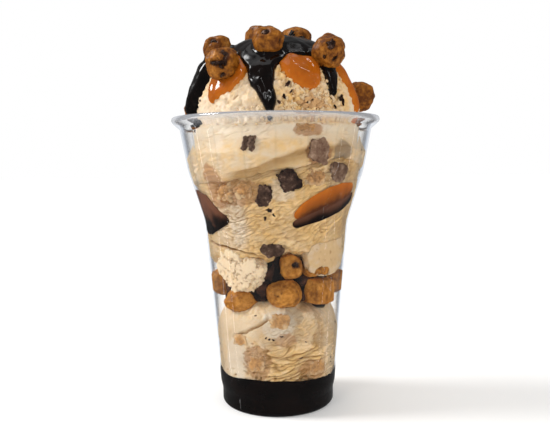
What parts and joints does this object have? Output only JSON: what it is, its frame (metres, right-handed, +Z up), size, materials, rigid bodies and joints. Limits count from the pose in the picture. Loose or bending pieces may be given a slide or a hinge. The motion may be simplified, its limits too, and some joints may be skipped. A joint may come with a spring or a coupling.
{
  "type": "ice cream sundae in a clear plastic cup",
  "caption": "Layered ice cream sundae with cookie dough balls, fudge and caramel, standing in its clear tapered plastic cup.",
  "frame": {"origin": "on the cup's axis, on the surface that the cup's foot stands on", "axes": "+Z up along the cup's axis; the side shown in the picture faces -Y; +X to the right"},
  "size_m": [0.0982, 0.0982, 0.1811],
  "materials": {
    "clear_plastic": "clear glossy",
    "ice_cream": "soft matte",
    "hot_fudge": "wet glossy",
    "caramel_sauce": "wet glossy",
    "cookie_dough": "matte, grainy",
    "dark_chocolate": "satin"
  },
  "bodies": {
    "root": {"caramel_pocket": "caramel_sauce", "caramel_top_back": "caramel_sauce", "caramel_top_centre": "caramel_sauce", "caramel_top_left": "caramel_sauce", "caramel_top_right": "caramel_sauce", "choc_chunk_1": "dark_chocolate", "choc_chunk_2": "dark_chocolate", "choc_chunk_3": "dark_chocolate", "choc_chunk_4": "dark_chocolate", "choc_chunk_5": "dark_chocolate", "choc_chunk_6": "dark_chocolate", "choc_chunk_7": "dark_chocolate", "cup": "clear_plastic", "dough_band_1": "cookie_dough", "dough_band_2": "cookie_dough", "dough_band_3": "cookie_dough", "dough_band_4": "cookie_dough", "dough_band_5": "cookie_dough", "dough_bit_1": "cookie_dough", "dough_bit_2": "cookie_dough", "dough_bit_3": "cookie_dough", "dough_bit_4": "cookie_dough", "dough_bit_5": "cookie_dough", "dough_ring_1": "cookie_dough", "dough_ring_2": "cookie_dough", "dough_ring_3": "cookie_dough", "dough_ring_4": "cookie_dough", "dough_ring_5": "cookie_dough", "dough_ring_6": "cookie_dough", "dough_ring_7": "cookie_dough", "dough_ring_8": "cookie_dough", "dough_ring_9": "cookie_dough", "dough_top_1": "cookie_dough", "dough_top_10": "cookie_dough", "dough_top_11": "cookie_dough", "dough_top_2": "cookie_dough", "dough_top_3": "cookie_dough", "dough_top_4": "cookie_dough", "dough_top_5": "cookie_dough", "dough_top_6": "cookie_dough", "dough_top_7": "cookie_dough", "dough_top_8": "cookie_dough", "dough_top_9": "cookie_dough", "dough_upper_1": "cookie_dough", "dough_upper_2": "cookie_dough", "fudge_base": "hot_fudge", "fudge_middle": "hot_fudge", "fudge_pocket_left": "hot_fudge", "fudge_pocket_right": "hot_fudge", "fudge_top": "hot_fudge", "lump_left": "ice_cream", "lump_right": "ice_cream", "scoop_bottom": "ice_cream", "scoop_middle": "ice_cream", "scoop_top": "ice_cream"}
  },
  "joints": []
}
